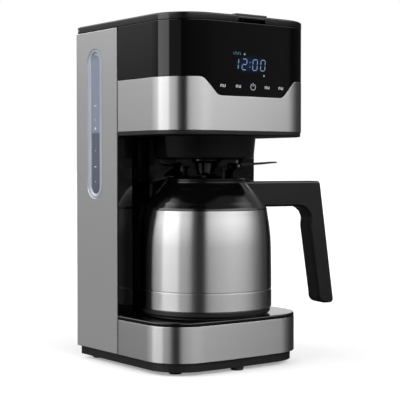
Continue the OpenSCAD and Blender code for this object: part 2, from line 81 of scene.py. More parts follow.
# Places taken from the frame, in metres.
HEAD_LOW, HEAD_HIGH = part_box("head_band")
BASE_LOW, BASE_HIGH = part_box("base_band")
TRIM_LOW, TRIM_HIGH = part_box("head_trim")
TRAY_LOW, TRAY_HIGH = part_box("base_tray")
SEAT_LOW, SEAT_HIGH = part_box("jug_seat")
LID_LOW, LID_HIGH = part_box("lid")
FRAME_LOW, FRAME_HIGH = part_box("window_frame")
LENS_LOW, LENS_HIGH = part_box("window_lens")
FILTER_LOW, FILTER_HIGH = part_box("filter_housing")
NOZZLE_LOW, NOZZLE_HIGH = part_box("drip_nozzle")
SHELL_LOW, SHELL_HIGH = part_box("jug_shell")
COLLAR_LOW, COLLAR_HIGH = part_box("jug_collar")
HALF_W = HEAD_HIGH.x
HEAD_FRONT = -HEAD_LOW.y
BASE_FRONT = -BASE_LOW.y
LID_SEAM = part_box("head_fascia")[1].z
FILTER_Y = (FILTER_LOW.y + FILTER_HIGH.y) / 2
HINGE = Vector(next(j for j in frame["joints"] if j["name"] == "lid_hinge")["pos_m"])
LEVER_JOINT = next(j for j in frame["joints"] if j["name"] == "thumb_lever_press")
HANDLE_TURN = math.atan2(LEVER_JOINT["pos_m"][1], LEVER_JOINT["pos_m"][0])


# ---------- sizes and colours ----------


def length(name, description, default):
    return bpy.props.FloatProperty(
        name=name, description=description, default=default, min=0.0,
        unit="LENGTH", subtype="DISTANCE", precision=5,
    )


def colour(name, description, default):
    return bpy.props.FloatVectorProperty(
        name=name, description=description, default=default, size=3,
        min=0.0, max=1.0, subtype="COLOR",
    )


class CoffeeMakerSizes(bpy.types.PropertyGroup):
    """Sizes of the visible pieces."""

    head_corner: length("Head corner", "Corner radius of the head in plan", 0.043)
    base_corner: length("Base corner", "Corner radius of the base in plan", 0.0417)
    bow: length("Bow", "Radius of the bowed fronts", 1.0)
    skin: length("Skin", "Thickness of the steel bands and the fascia", 0.0015)
    band_edge: length("Band edge", "Rounding of the steel bands' edges", 0.0006)
    dip_low: length("Dip height", "Height of the head band's top edge in its dip", 0.2715)
    dip_top: length("Dip top", "Half width of the dip at its top", 0.0574)
    dip_bottom: length("Dip bottom", "Half width of the dip at its bottom", 0.0402)
    dip_round: length("Dip rounding", "Rounding of the dip's corners", 0.010)
    bay: length("Bay radius", "Radius of the tray and the trim over the bay's hollow", 0.0766)
    lid_edge: length("Lid edge", "Rounding of the lid's top edge", 0.0015)
    tab_width: length("Tab width", "Half width of the lid's grip tab", 0.019)
    handle_width: length("Handle width", "Width of the jug's handle", 0.024)
    handle_edge: length("Handle edge", "Rounding of the handle's long edges", 0.0024)
    digit_height: length("Digit height", "Height of the clock's digits", 0.0104)
    water_level: length("Water level", "Height of the water seen in the window", 0.238)


class CoffeeMakerColours(bpy.types.PropertyGroup):
    """Colours of the finishes."""

    steel: colour("Steel", "Brushed steel bands", (0.52, 0.52, 0.525))
    jug_steel: colour("Jug steel", "Brushed steel of the jug", (0.52, 0.52, 0.52))
    silver: colour("Silver", "Side panels", (0.56, 0.56, 0.56))
    black: colour("Black", "Moulded black plastic", (0.006, 0.006, 0.007))
    gloss: colour("Gloss black", "Polished black plastic", (0.0015, 0.0015, 0.002))
    handle: colour("Handle", "Handle and lever", (0.006, 0.006, 0.007))
    window: colour("Window", "Window above the water", (0.27, 0.32, 0.4))
    water: colour("Water", "Window below the water level", (0.1, 0.12, 0.15))
    digits: colour("Digits", "Lit digits of the clock", (0.35, 0.6, 1.0))
    icons: colour("Icons", "Touch key marks", (0.62, 0.64, 0.68))


# ---------- finishes ----------


class Term:
    """A node's output that takes part in Python arithmetic."""

    def __init__(self, finish, socket):
        self.finish, self.socket = finish, socket

    def math(self, operation, *values):
        return self.finish.node("ShaderNodeMath", {"operation": operation}, dict(enumerate(values)))

    def __add__(self, other):
        return self.math("ADD", self, other)

    def __sub__(self, other):
        return self.math("SUBTRACT", self, other)

    def __rsub__(self, other):
        return self.math("SUBTRACT", other, self)

    def __mul__(self, other):
        return self.math("MULTIPLY", self, other)

    def __truediv__(self, other):
        return self.math("DIVIDE", self, other)

    def __pow__(self, other):
        return self.math("POWER", self, other)

    __radd__, __rmul__ = __add__, __mul__


class Nodes:
    """A node tree that is written as expressions."""

    def __init__(self, owner):
        owner.use_nodes = True
        self.tree = owner.node_tree
        self.tree.nodes.clear()

    def node(self, kind, settings=None, inputs=None, output=0):
        """One node: its settings, then its inputs by name or index."""
        made = self.tree.nodes.new(kind)
        for key, value in (settings or {}).items():
            if key == "stops":
                ramp = made.color_ramp
                while len(ramp.elements) < len(value):
                    ramp.elements.new(1.0)
                for element, (place, shade) in zip(ramp.elements, value):
                    element.position = place
                    element.color = (*shade, 1.0) if isinstance(shade, tuple) else (shade, shade, shade, 1.0)
            else:
                setattr(made, key, value)
        for key, value in (inputs or {}).items():
            self.put(made.inputs[key], value)
        return None if output is None else Term(self, made.outputs[output])

    def put(self, socket, value):
        if isinstance(value, Term):
            self.tree.links.new(value.socket, socket)
        elif socket.type == "RGBA" and len(value) == 3:
            socket.default_value = (*value, 1.0)
        else:
            socket.default_value = value

    def steps(self, value, stops, interpolation="LINEAR"):
        """A ramp over a value from 0 to 1."""
        made = self.node("ShaderNodeValToRGB", {"stops": stops}, {0: value})
        made.socket.node.color_ramp.interpolation = interpolation
        return made


class Finish(Nodes):
    """A procedural material on one Principled shader."""

    def __init__(self, name, **constants):
        self.material = bpy.data.materials.new(name)
        super().__init__(self.material)
        self.shader = self.tree.nodes.new("ShaderNodeBsdfPrincipled")
        output = self.tree.nodes.new("ShaderNodeOutputMaterial")
        self.tree.links.new(self.shader.outputs[0], output.inputs[0])
        self.set(**constants)

    def set(self, **values):
        """Values or terms on the shader's sockets, with _ for a space."""
        for key, value in values.items():
            self.put(self.shader.inputs[key.replace("_", " ")], value)
        return self

    def place(self):
        return self.node("ShaderNodeTexCoord", output="Object")

    def along(self, axis):
        """The height or place along one axis of the object, in metres."""
        return self.node("ShaderNodeSeparateXYZ", inputs={0: self.place()}, output=axis)

    def noise(self, scale, detail=2.0):
        """Noise from 0 to 1, with a scale for each axis, in features to the metre."""
        place = self.node("ShaderNodeMapping", inputs={"Vector": self.place(), "Scale": scale})
        return self.node("ShaderNodeTexNoise", inputs={"Vector": place, "Scale": 1.0, "Detail": detail})

    def blend(self, factor, low, high):
        return self.node(
            "ShaderNodeMix", {"data_type": "RGBA"},
            {0: factor, 6: (*low, 1.0), 7: high if isinstance(high, Term) else (*high, 1.0)}, 2,
        )

    def bump(self, height, depth, strength=1.0):
        return self.set(Normal=self.node(
            "ShaderNodeBump", inputs={"Strength": strength, "Distance": depth, "Height": height}))


def shade(rgb, factor):
    return tuple(min(1.0, c * factor) for c in rgb)


def brushed(name, rgb, grain, roughness, turn, metallic=1.0, anisotropic=1.0):
    """Metal brushed along one direction: grain is the features to the metre on each axis."""
    made = Finish(name, Metallic=metallic, Anisotropic=anisotropic, Anisotropic_Rotation=turn)
    fine = made.noise(grain, 3.0)
    broad = made.noise(tuple(g / 9 for g in grain), 2.0)
    made.set(
        Base_Color=made.blend(fine * 0.6 + broad * 0.4, shade(rgb, 0.95), shade(rgb, 1.05)),
        Roughness=fine * 0.04 + broad * 0.03 + (roughness - 0.035),
    )
    return made.bump(fine, 0.00001, 0.12).material


def moulded(name, rgb, roughness, grain=1800.0, depth=0.00003, **constants):
    """Moulded plastic or rubber with a fine even grain and slightly uneven gloss."""
    made = Finish(name, **constants)
    fine = made.noise((grain,) * 3, 2.0)
    broad = made.noise((45.0,) * 3, 3.0)
    made.set(
        Base_Color=made.blend(broad, shade(rgb, 0.85), shade(rgb, 1.2)),
        Roughness=broad * 0.08 + fine * 0.04 + (roughness - 0.06),
    )
    return made.bump(fine, depth, 0.5).material


def polished(name, rgb, roughness=0.07, wave=0.0004):
    """Glossy moulding: faint flow waves and a trace of handling."""
    made = Finish(name, Specular_IOR_Level=0.5)
    waves = made.noise((28.0,) * 3, 1.0)
    traces = made.noise((140.0, 140.0, 60.0), 4.0)
    made.set(
        Base_Color=made.blend(waves, shade(rgb, 0.8), shade(rgb, 1.25)),
        Roughness=traces * 0.05 + (roughness - 0.02),
    )
    return made.bump(waves, wave, 0.06).material


def lit(name, rgb, strength, base=(0.05, 0.05, 0.06)):
    made = Finish(name, Emission_Strength=strength, Roughness=0.3)
    glow = made.noise((900.0,) * 3, 1.0)
    made.set(
        Base_Color=made.blend(glow, base, shade(base, 1.2)),
        Emission_Color=made.blend(glow, shade(rgb, 0.92), rgb),
    )
    return made.material


def window_glass(name, sizes, colours):
    """Clear window strip: pale over the water, darker below its level, with painted shade at its top."""
    made = Finish(name, Roughness=0.12, Coat_Weight=0.6, Coat_Roughness=0.05)
    height = made.along("Z")
    wobble = made.noise((60.0, 60.0, 25.0), 2.0)
    level = (height - (sizes.water_level - 0.001)) / 0.002
    tone = made.blend(made.node("ShaderNodeClamp", inputs={0: level}), colours.water, colours.window)
    # Painted shade: the strip's top 7 mm darkens towards near black, standing in for the shade under the slot's upper
    # wall.
    top = made.node("ShaderNodeClamp", inputs={0: (height - (LENS_HIGH.z - 0.007)) / 0.007})
    # Mixes in the painted shade at the top, then a random bluish tint over the whole strip.
    for factor, painted_shade_and_tint in ((top * 0.75, (0.03, 0.035, 0.05, 1.0)), (wobble * 0.25, (0.2, 0.23, 0.32, 1.0))):
        tone = made.node("ShaderNodeMix", {"data_type": "RGBA"}, {0: factor, 6: tone, 7: painted_shade_and_tint}, 2)
    made.set(Base_Color=tone)
    return made.bump(wobble, 0.0002, 0.2).material


def see_through(name, rgb, alpha, roughness):
    made = Finish(name, Transmission_Weight=0.0, IOR=1.49)
    haze = made.noise((80.0,) * 3, 3.0)
    made.set(
        Base_Color=made.blend(haze, shade(rgb, 0.9), rgb),
        Roughness=haze * 0.1 + roughness,
        Alpha=haze * 0.1 + alpha,
    )
    return made.material


def fascia_black(name, rgb):
    """Glossy fascia with a painted glow: emission standing in for the faint blue light that the digits cast round them.
    """
    made = Finish(name, Specular_IOR_Level=0.5, Emission_Strength=1.0)
    waves = made.noise((28.0,) * 3, 1.0)
    # Painted glow: an oval patch of blue emission about the clock, fading out from its middle.
    across = (made.along("X") + 0.002) / 0.024
    up = (made.along("Z") - 0.303) / 0.0105
    painted_glow_mask = made.node("ShaderNodeClamp", inputs={0: 1 - (across * across + up * up)})
    made.set(
        Base_Color=made.blend(waves, shade(rgb, 0.8), shade(rgb, 1.25)),
        Roughness=waves * 0.03 + 0.05,
        Emission_Color=made.blend(painted_glow_mask * painted_glow_mask, (0.0, 0.0, 0.0), (0.004, 0.012, 0.035)),
    )
    return made.bump(waves, 0.0004, 0.05).material


FINISHES = {}


def make_finishes():
    sizes, colours = bpy.context.scene.coffee_sizes, bpy.context.scene.coffee_colours
    level, upright = (22.0, 22.0, 2600.0), (2600.0, 2600.0, 9.0)
    steel, jug = tuple(colours.steel), tuple(colours.jug_steel)
    black, gloss, handle = tuple(colours.black), tuple(colours.gloss), tuple(colours.handle)
    FINISHES.update(
        brushed_steel=brushed("brushed_steel", steel, level, 0.3, 0.25),
        jug_steel=brushed("jug_steel", jug, level, 0.3, 0.25),
        silver_panel=brushed("silver_panel", tuple(colours.silver), upright, 0.24, 0.0, 0.55, 0.3),
        black_plastic=moulded("black_plastic", black, 0.42),
        satin_black=moulded("satin_black", black, 0.15, 900.0, 0.000005),
        gloss_black=polished("gloss_black", gloss),
        wavy_black=polished("wavy_black", gloss, 0.05, 0.012),
        fascia_black=fascia_black("fascia_black", gloss),
        collar_black=moulded("collar_black", shade(black, 0.3), 0.13, 1400.0, 0.000005),
        handle_black=moulded("handle_black", handle, 0.32, 1500.0, 0.00002),
        seat_grey=moulded("seat_grey", (0.03, 0.03, 0.032), 0.45),
        rubber_feet=moulded("rubber_feet", (0.03, 0.03, 0.03), 0.7, 1200.0, 0.00006),
        basket_grey=moulded("basket_grey", (0.035, 0.035, 0.04), 0.45, 1100.0, 0.00005),
        window_frame=moulded("window_frame", (0.42, 0.45, 0.52), 0.22, 600.0, 0.00001, Coat_Weight=0.5),
        window_lens=window_glass("window_lens", sizes, colours),
        clear_tank=see_through("clear_tank", (0.75, 0.8, 0.85), 0.35, 0.08),
        silicone=moulded("silicone", (0.68, 0.66, 0.6), 0.5, 700.0, 0.00003),
        white_plastic=moulded("white_plastic", (0.75, 0.75, 0.72), 0.4),
        valve_grey=moulded("valve_grey", (0.02, 0.02, 0.022), 0.45, 900.0, 0.00002),
        circuit_board=moulded("circuit_board", (0.03, 0.14, 0.06), 0.4, 350.0, 0.00005),
        display=moulded("display", (0.015, 0.02, 0.03), 0.15, 900.0, 0.00001),
        brass_springs=brushed("brass_springs", (0.75, 0.52, 0.24), level, 0.3, 0.0),
        cast_aluminium=moulded("cast_aluminium", (0.6, 0.6, 0.6), 0.5, 500.0, 0.00008, Metallic=1.0),
        plated_steel=brushed("plated_steel", (0.65, 0.65, 0.66), upright, 0.2, 0.0, 1.0, 0.2),
        digits=lit("digits", tuple(colours.digits), 0.5),
        dots=lit("dots", (0.7, 0.72, 0.95), 0.5),
        label_blue=lit("label_blue", (0.1, 0.32, 0.7), 0.3),
        icons=lit("icons", tuple(colours.icons), 0.8),
        marks=moulded("marks", (0.8, 0.82, 0.86), 0.4),
    )


# ---------- shapes ----------


def arc(cx, cy, r, a0, a1, n):
    """Points on an arc from angle a0 to a1, in degrees."""
    turn = [math.radians(a0 + (a1 - a0) * i / n) for i in range(n + 1)]
    return [Vector((cx + r * math.cos(a), cy + r * math.sin(a))) for a in turn]


def rounded(points, n=5):
    """A line of (x, y, radius) corners with each corner rounded by its radius."""
    line = []
    for i, (x, y, r) in enumerate(points):
        corner = Vector((x, y))
        if not r:
            line.append(corner)
            continue
        before = Vector(points[i - 1][:2]) - corner
        after = Vector(points[(i + 1) % len(points)][:2]) - corner
        back = min(r / math.tan(before.angle(after) / 2), before.length * 0.49, after.length * 0.49)
        a, b = corner + before.normalized() * back, corner + after.normalized() * back
        for k in range(n + 1):
            t = k / n
            line.append(a * (1 - t) ** 2 + corner * 2 * t * (1 - t) + b * t * t)
    return line


def millimetres(points, x=0.0, z=0.0):
    """Corners (distance, height, rounding) in millimetres from (x, z), in metres."""
    return [(x + a * MM, z + b * MM, r * MM) for a, b, r in points]


def curve_through(points, n=6):
    """A smooth line through (x, y) points."""
    p = [Vector(q[:2]) for q in points]
    p = [p[0] * 2 - p[1], *p, p[-1] * 2 - p[-2]]
    line = []
    for i in range(1, len(p) - 2):
        for k in range(n):
            t = k / n
            line.append(0.5 * (2 * p[i] + (p[i + 1] - p[i - 1]) * t
                               + (2 * p[i - 1] - 5 * p[i] + 4 * p[i + 1] - p[i + 2]) * t * t
                               + (3 * p[i] - p[i - 1] - 3 * p[i + 1] + p[i + 2]) * t ** 3))
    return [*line, p[-2]]


def front_path(front, corner, inset, back, n=28):
    """Plan of a body's front half: from the right side's rear end round the bowed front to the left."""
    bow = bpy.context.scene.coffee_sizes.bow
    hw, rc, rb = HALF_W - inset, corner - inset, bow - inset
    cx = hw - rc
    lean = math.degrees(math.asin(cx / (rb - rc)))
    cy = bow - front - math.sqrt((rb - rc) ** 2 - cx * cx)
    return [
        Vector((hw, back)), *arc(cx, cy, rc, 0, lean - 90, n),
        *arc(0, bow - front, rb, lean - 90, -lean - 90, 64)[1:],
        *arc(-cx, cy, rc, -lean - 90, -180, n)[1:], Vector((-hw, back)),
    ]


def bow_y(x, front):
    """Where the bowed front lies at x."""
    bow = bpy.context.scene.coffee_sizes.bow
    return bow - front - math.sqrt(bow * bow - x * x)


def ring_of(bm, points, closed=True):
    """A loop or chain of edges through points."""
    verts = [bm.verts.new(p) for p in points]
    pairs = list(zip(verts, verts[1:]))
    if closed:
        pairs.append((verts[-1], verts[0]))
    return [bm.edges.new(pair) for pair in pairs]


def loft(bm, rows, closed=True, wrap=False):
    """Walls between rows of points. wrap joins the last row to the first."""
    rings = [ring_of(bm, row, closed) for row in rows]
    pairs = list(zip(rings, rings[1:]))
    if wrap:
        pairs.append((rings[-1], rings[0]))
    for a, b in pairs:
        bmesh.ops.bridge_loops(bm, edges=a + b)
    return rings


def fill(bm, *rings):
    """A flat face inside closed loops, with the inner loops as holes."""
    bmesh.ops.triangle_fill(bm, use_beauty=True, edges=[e for ring in rings for e in ring])


def close(bm):
    bmesh.ops.holes_fill(bm, edges=[e for e in bm.edges if e.is_boundary], sides=0)


def spin(bm, profile, centre=(0.0, 0.0), steps=96, closed=False):
    """Turns (radius, height) points about an upright axis."""
    cx, cy = centre
    edges = ring_of(bm, [(cx + r, cy, z) for r, z in profile], closed)
    verts = list({v for e in edges for v in e.verts})
    bmesh.ops.spin(bm, geom=verts + edges, cent=(cx, cy, 0.0), axis=(0.0, 0.0, 1.0),
                   angle=math.tau, steps=steps, use_merge=True)
    poles = [v for v in bm.verts if math.hypot(v.co.x - cx, v.co.y - cy) < 1e-6]
    bmesh.ops.remove_doubles(bm, verts=poles, dist=1e-6)


def prism(bm, outline, width, edge=0.0, keep_ends=0, segments=3):
    """Extrudes an upright outline of (distance, height) points across Y, with its long edges rounded.
    The last keep_ends sides of the outline stay sharp."""
    verts = [bm.verts.new((p[0], -width / 2, p[1])) for p in outline]
    face = bm.faces.new(verts)
    grown = bmesh.ops.extrude_face_region(bm, geom=[face])["geom"]
    moved = [g for g in grown if isinstance(g, bmesh.types.BMVert)]
    bmesh.ops.translate(bm, verts=moved, vec=(0.0, width, 0.0))
    if edge:
        ends = {frozenset((round(outline[i][0], 7), round(outline[(i + 1) % len(outline)][0], 7)))
                for i in range(len(outline) - keep_ends, len(outline))}
        fresh = set(verts) | set(moved)
        long_edges = [
            e for e in bm.edges
            if e.verts[0] in fresh and abs(e.verts[0].co.y - e.verts[1].co.y) < 1e-9
            and frozenset(round(v.co.x, 7) for v in e.verts) not in ends
        ]
        bmesh.ops.bevel(bm, geom=long_edges, offset=edge, offset_type="OFFSET", affect="EDGES",
                        segments=segments, profile=0.5, material=-1, clamp_overlap=True)


def turn_to_handle(bm, verts=None):
    bmesh.ops.rotate(bm, verts=verts or bm.verts, cent=(0.0, 0.0, 0.0),
                     matrix=Matrix.Rotation(HANDLE_TURN, 3, "Z"))


def piece(name, bm, finish, body, replaces=(), sharp=33.0, modifiers=()):
    """Makes a finished mesh a piece that rides on a body."""
    bmesh.ops.remove_doubles(bm, verts=bm.verts, dist=1e-7)
    bmesh.ops.recalc_face_normals(bm, faces=bm.faces)
    for face in bm.faces:
        face.smooth = True
    for edge in bm.edges:
        if len(edge.link_faces) == 2 and edge.calc_face_angle() > math.radians(sharp):
            edge.smooth = False
    mesh = bpy.data.meshes.new(name)
    bm.to_mesh(mesh)
    bm.free()
    if not mesh.polygons:
        raise RuntimeError(f"{name} came out empty")
    mesh.materials.append(FINISHES[finish])
    made = bpy.data.objects.new(name, mesh)
    bpy.context.scene.collection.objects.link(made)
    for kind, settings in (*modifiers, ("WEIGHTED_NORMAL", {"keep_sharp": True})):
        modifier = made.modifiers.new(kind.title(), kind)
        for key, value in settings.items():
            setattr(modifier, key, value)
    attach(made, body)
    if replaces:
        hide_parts(*replaces)
    return made


def eased(node, body, slot, edge, finish=None, angle=30.0):
    """A copy of a CAD node with its sharp edges rounded."""
    bm = bmesh.new()
    bm.from_mesh(frame["nodes"][node].data)
    bmesh.ops.remove_doubles(bm, verts=bm.verts, dist=2e-6)
    bmesh.ops.dissolve_limit(bm, angle_limit=math.radians(0.8), verts=bm.verts, edges=bm.edges)
    return piece(node + "_eased", bm, finish or slot, body, (node,), modifiers=(
        ("BEVEL", {"width": edge, "segments": 2, "limit_method": "ANGLE",
                   "angle_limit": math.radians(angle), "use_clamp_overlap": True}),
    ))


def coil(node, body):
    """A copy of a spring in plated steel, with a mesh of its own."""
    bm = bmesh.new()
    bm.from_mesh(frame["nodes"][node].data)
    made = piece(node + "_coil", bm, "plated_steel", body, (node,))
    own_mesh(made)


# ---------- pieces ----------


def rail_rows(front, corner, back, section, height):
    """Rows of a band along a body's front. section holds (inset, end, rise), with end 0 for the lower edge
    and 1 for the upper."""
    rows = []
    for inset, end, rise in section:
        rows.append([(p.x, p.y, height(p.x, end) + rise) for p in front_path(front, corner, inset, back)])
    return rows


def band_section(skin, edge):
    soft = edge * 0.3
    return [(skin, 0, 0.0), (edge, 0, 0.0), (soft, 0, soft), (0.0, 0, edge),
            (0.0, 1, -edge), (soft, 1, -soft), (edge, 1, 0.0), (skin, 1, 0.0)]


def dip_edge(x, sizes):
    """Height of the line between the head's steel band and its fascia at x."""
    top, low = HEAD_HIGH.z, sizes.dip_low
    line = rounded([(-0.2, low, 0.0), (sizes.dip_bottom, low, sizes.dip_round),
                    (sizes.dip_top, top, sizes.dip_round), (0.2, top, 0.0)], 8)
    x = abs(x)
    for a, b in zip(line, line[1:]):
        if a.x <= x <= b.x:
            return a.y + (b.y - a.y) * (x - a.x) / (b.x - a.x)
    return top


class Maker:
    """Common parts of the operators that make pieces."""

    bl_options = {"REGISTER", "UNDO"}

    def execute(self, context):
        self.make(context.scene.coffee_sizes)
        return {"FINISHED"}


class COFFEE_OT_base(Maker, bpy.types.Operator):
    """Steel band, tray, seat ring and feet of the base"""

    bl_idname = "coffee_maker.base"
    bl_label = "Base"

    def make(self, sizes):
        bm = bmesh.new()
        section = band_section(sizes.skin, sizes.band_edge)
        rows = rail_rows(BASE_FRONT, sizes.base_corner, BASE_HIGH.y, section,
                         lambda x, end: BASE_HIGH.z if end else BASE_LOW.z)
        loft(bm, rows, closed=False, wrap=True)
        close(bm)
        piece("base_steel_band", bm, "brushed_steel", "machine", ("base_band",))

        bm = bmesh.new()
        r = sizes.bay
        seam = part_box("tower_wall")[0].y
        a = math.degrees(math.asin(seam / r))

        def plan(inset, z):
            path = front_path(BASE_FRONT, sizes.base_corner, 0.3 * MM + inset, seam)
            hollow = arc(0, 0, r, 180 - a, a, 40)
            return [(p.x, p.y, z) for p in path + hollow]

        e, top = 1.3 * MM, TRAY_HIGH.z
        rings = loft(bm, [plan(0, TRAY_LOW.z), plan(0, top - e), plan(e * 0.13, top - e * 0.5),
                          plan(e * 0.5, top - e * 0.13), plan(e, top)])
        hole = SEAT_HIGH.x + 0.4 * MM
        inner = loft(bm, [[(p.x, p.y, z) for p in arc(0, 0, q, 0, 360, 120)[:-1]]
                          for q, z in ((hole + 0.5 * MM, top), (hole, top - 0.5 * MM), (hole, TRAY_LOW.z))])
        fill(bm, rings[-1], inner[0])
        fill(bm, rings[0], inner[-1])
        piece("base_gloss_tray", bm, "gloss_black", "machine", ("base_tray",))

        bm = bmesh.new()
        z0, z1, r1 = SEAT_LOW.z, SEAT_HIGH.z, SEAT_HIGH.x
        profile = [(0, z0, 0), (r1, z0, 0.3 * MM), (r1, z1, 0.8 * MM)]
        for ring in SEAT_RINGS:
            profile += [(ring * MM, z1, 0.2 * MM), ((ring - 0.6) * MM, z1 - 0.7 * MM, 0),
                        ((ring - 2.4) * MM, z1 - 0.7 * MM, 0), ((ring - 3) * MM, z1, 0.2 * MM)]
        profile += [(0, z1, 0)]
        spin(bm, rounded(profile, 3), steps=128)
        piece("jug_seat_rings", bm, "seat_grey", "machine", ("jug_seat",))

        bm = bmesh.new()
        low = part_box("bottom_cover")[0].z
        for x, y in FEET:
            pad = millimetres([(0, 0.5, 0), (4.2, 0.5, 0), (4.6, 0, 0.3), (6.3, 0, 0.5)])
            spin(bm, rounded([*pad, (7 * MM, low, 0), (0, low, 0)], 3), (x * MM, y * MM), 40)
        piece("feet_pads", bm, "rubber_feet", "machine", ("feet",))


class COFFEE_OT_tower(Maker, bpy.types.Operator):
    """Side panels, rear cover, bay wall and water window"""

    bl_idname = "coffee_maker.tower"
    bl_label = "Tower"

    def make(self, sizes):
        eased("side_panel_left", "machine", "silver_panel", 0.7 * MM)
        eased("side_panel_right", "machine", "silver_panel", 0.7 * MM)
        eased("rear_cover", "machine", "black_plastic", 0.5 * MM)
        eased("tower_wall", "machine", "gloss_black", 0.4 * MM, "wavy_black")

        mid_y = (FRAME_LOW.y + FRAME_HIGH.y) / 2

        def stadium(x, half, grow=0.0, z0=FRAME_LOW.z, z1=FRAME_HIGH.z):
            half -= grow
            z0, z1 = z0 + grow, z1 - grow
            points = arc(mid_y, z1 - half, half, 0, 180, 20) + arc(mid_y, z0 + half, half, 180, 360, 20)
            return [(x, p.x, p.y) for p in points]

        bm = bmesh.new()
        outer, inner = (FRAME_HIGH.y - FRAME_LOW.y) / 2, (LENS_HIGH.y - LENS_LOW.y) / 2
        x0, x1 = FRAME_LOW.x, FRAME_HIGH.x
        slot = (LENS_LOW.z, LENS_HIGH.z)
        loft(bm, [
            stadium(x1, outer), stadium(x0 + 0.5 * MM, outer), stadium(x0 + 0.1 * MM, outer, 0.25 * MM),
            stadium(x0, outer, 0.8 * MM), stadium(x0 + 0.1 * MM, inner, -2.2 * MM, *slot),
            stadium(x0 + 0.45 * MM, inner, -0.9 * MM, *slot), stadium(x0 + 1.2 * MM, inner, -0.1 * MM, *slot),
            stadium(x1, inner, -0.1 * MM, *slot),
        ], wrap=True)
        piece("window_surround", bm, "window_frame", "machine", ("window_frame",))

        bm = bmesh.new()
        rings = loft(bm, [stadium(LENS_HIGH.x, inner, 0.0, *slot), stadium(LENS_LOW.x + 0.9 * MM, inner, 0.0, *slot),
                          stadium(LENS_LOW.x + 0.6 * MM, inner, 1.0 * MM, *slot),
                          stadium(LENS_LOW.x + 0.45 * MM, inner, 3.2 * MM, *slot)])
        for ring in (rings[0], rings[-1]):
            bmesh.ops.contextual_create(bm, geom=ring)
        piece("window_strip", bm, "window_lens", "machine", ("window_lens",))

        bm = bmesh.new()
        for z, wide, tall in ((0.266, 3.6, 0.8), (0.2425, 2.4, 2.4), (0.203, 3.6, 0.8), (0.2195, 2.0, 0.5),
                              (0.1875, 2.0, 0.5), (0.2515, 2.0, 0.5)):
            plate = bmesh.ops.create_cube(bm, size=1.0)["verts"]
            bmesh.ops.scale(bm, verts=plate, vec=(0.12 * MM, wide * MM, tall * MM))
            bmesh.ops.translate(bm, verts=plate, vec=(LENS_LOW.x + 0.45 * MM, mid_y, z))
        rim = list(bm.edges)
        bmesh.ops.bevel(bm, geom=rim, offset=0.03 * MM, offset_type="OFFSET", affect="EDGES", segments=1,
                        profile=0.5, material=-1, clamp_overlap=True)
        piece("window_level_marks", bm, "marks", "machine")


class COFFEE_OT_head(Maker, bpy.types.Operator):
    """Steel band, glossy fascia and underside trim of the head"""

    bl_idname = "coffee_maker.head"
    bl_label = "Head"

    def make(self, sizes):
        back = HEAD_HIGH.y
        section = band_section(sizes.skin, sizes.band_edge)
        bm = bmesh.new()
        loft(bm, rail_rows(HEAD_FRONT, sizes.head_corner, back, section,
                           lambda x, end: dip_edge(x, sizes) - 0.1 * MM if end else HEAD_LOW.z), False, True)
        close(bm)
        piece("head_steel_band", bm, "brushed_steel", "machine", ("head_band",))
        bm = bmesh.new()
        fine = band_section(sizes.skin, sizes.band_edge * 0.6)
        set_back = [(inset + FASCIA_BACK, end, rise) for inset, end, rise in fine]
        loft(bm, rail_rows(HEAD_FRONT, sizes.head_corner, back, set_back,
                           lambda x, end: LID_SEAM if end else dip_edge(x, sizes) + 0.05 * MM), False, True)
        close(bm)
        piece("head_gloss_fascia", bm, "fascia_black", "machine", ("head_fascia",))

        bm = bmesh.new()
        r, seam = sizes.bay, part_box("tower_wall")[0].y - 0.2 * MM
        a = math.degrees(math.asin(seam / r))

        def plan(inset, z):
            path = front_path(HEAD_FRONT, sizes.head_corner, 0.8 * MM + inset, seam)
            return [(p.x, p.y, z) for p in path + arc(0, 0, r, 180 - a, a, 40)]

        e, low = 1.2 * MM, TRIM_LOW.z
        rings = loft(bm, [plan(0, TRIM_HIGH.z), plan(0, low + e), plan(e * 0.13, low + e * 0.5),
                          plan(e * 0.5, low + e * 0.13), plan(e, low)])
        gap = FILTER_HIGH.x - 5 * MM + 1.2 * MM
        inner = loft(bm, [[(p.x, p.y, z) for p in arc(0, FILTER_Y, q, 0, 360, 120)[:-1]]
                          for q, z in ((gap + 0.6 * MM, low), (gap, low + 0.6 * MM), (gap, TRIM_HIGH.z))])
        fill(bm, rings[-1], inner[0])
        fill(bm, rings[0], inner[-1])
        piece("head_underside_trim", bm, "black_plastic", "machine", ("head_trim",))
        eased("hinge_brackets", "machine", "black_plastic", 0.4 * MM)


SEGMENTS = {"0": "abcdef", "1": "bc", "2": "abged"}


